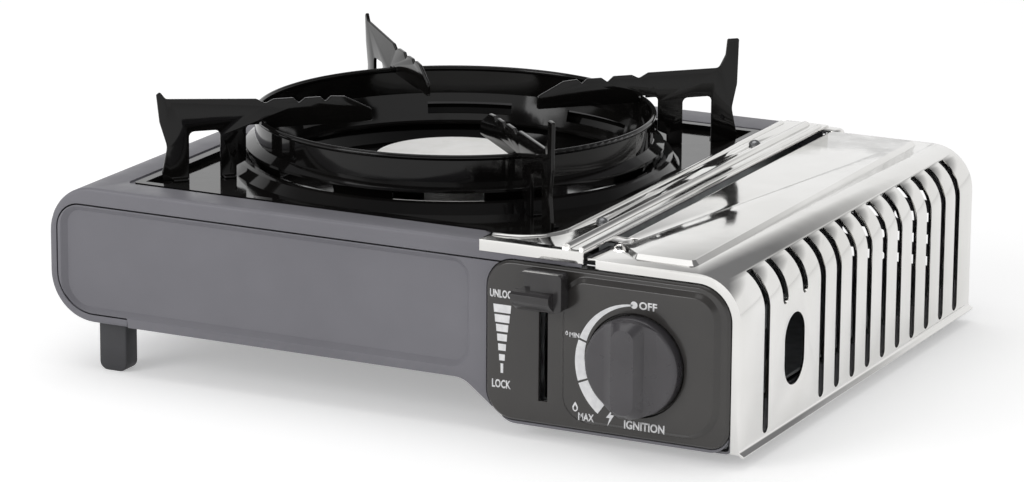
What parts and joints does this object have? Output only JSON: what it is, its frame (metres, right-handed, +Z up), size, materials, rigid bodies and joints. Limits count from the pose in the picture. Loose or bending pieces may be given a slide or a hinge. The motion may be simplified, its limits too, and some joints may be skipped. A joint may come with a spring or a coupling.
{
  "type": "butane cassette stove",
  "caption": "Low box-shaped table stove with a ringed burner and pan arms on the left, and a gas cartridge bay under a slotted hinged cover on the right.",
  "frame": {"origin": "on the table under the middle of the whole object, knob included", "axes": "+X to the right along the front, +Y to the back, +Z up"},
  "size_m": [0.3404, 0.283, 0.131],
  "materials": {
    "painted_shell": "satin grey powder coat",
    "painted_inner": "satin grey paint",
    "chrome_cover": "polished",
    "black_enamel": "glossy black vitreous enamel",
    "galvanised": "galvanised sheet",
    "steel": "plain",
    "burner_alloy": "matt cast",
    "brass": "turned",
    "zinc_casting": "die cast",
    "black_plastic": "glossy moulded",
    "knob_plastic": "satin moulded",
    "igniter_plastic": "moulded",
    "ceramic": "glazed ceramic",
    "wire_cover": "silicone",
    "foot_plastic": "moulded"
  },
  "bodies": {
    "stove": {"body_shell": "painted_shell", "front_panel": "painted_shell", "back_panel": "painted_shell", "base_pan": "painted_inner", "heat_shield": "galvanised", "hinge_strip": "chrome_cover", "strip_screws": "steel", "hinge_rod": "steel", "drip_tray": "black_enamel", "burner_head": "burner_alloy", "burner_cap": "burner_alloy", "mixing_tube": "steel", "gas_jet": "brass", "burner_bracket": "galvanised", "jet_bracket": "galvanised", "bay_wall": "galvanised", "control_panel": "black_plastic", "cartridge_cradle": "galvanised", "regulator_body": "zinc_casting", "regulator_cap": "zinc_casting", "gas_pipe": "steel", "igniter_body": "igniter_plastic", "igniter_electrode": "ceramic", "ignition_wire": "wire_cover", "foot_front_left": "foot_plastic", "foot_back_left": "foot_plastic", "foot_front_right": "foot_plastic", "foot_back_right": "foot_plastic", "base_screws": "steel"},
    "cover": {"cover": "chrome_cover"},
    "knob": {"knob": "knob_plastic", "valve_stem": "brass", "igniter_cam": "steel"},
    "lever": {"lever": "black_plastic", "lever_slide": "steel"},
    "carriage": {"cartridge_carriage": "steel"},
    "plunger": {"igniter_plunger": "igniter_plastic"},
    "pan_support": {"ring": "black_enamel", "arm_front_right": "black_enamel", "arm_back_right": "black_enamel", "arm_back_left": "black_enamel", "arm_front_left": "black_enamel"}
  },
  "joints": [
    {"name": "cover_hinge", "type": "hinge", "parent": "stove", "child": "cover", "pos_m": [0.1005, 0, 0.082], "axis": [0, -1, 0], "range_deg": [0, 110]},
    {"name": "knob_turn", "type": "hinge", "parent": "stove", "child": "knob", "pos_m": [0.1212, 0, 0.0405], "axis": [0, -1, 0], "range_deg": [0, 150]},
    {"name": "lever_slide_joint", "type": "slide", "parent": "stove", "child": "lever", "axis": [0, 0, -1], "range_m": [0, 0.045]},
    {"name": "carriage_slide", "type": "slide", "parent": "stove", "child": "carriage", "axis": [0, -1, 0], "range_m": [0, 0.009]},
    {"name": "igniter_press", "type": "slide", "parent": "stove", "child": "plunger", "axis": [1, 0, 0], "range_m": [0, 0.003], "stiffness_N_per_m": 300, "springref_m": -0.001},
    {"name": "pan_support_lift", "type": "slide", "parent": "stove", "child": "pan_support", "axis": [0, 0, 1], "range_m": [0, 0.06]}
  ],
  "couplings": [
    {"joint": "carriage_slide", "follows": "lever_slide_joint", "ratio": 0.2}
  ]
}
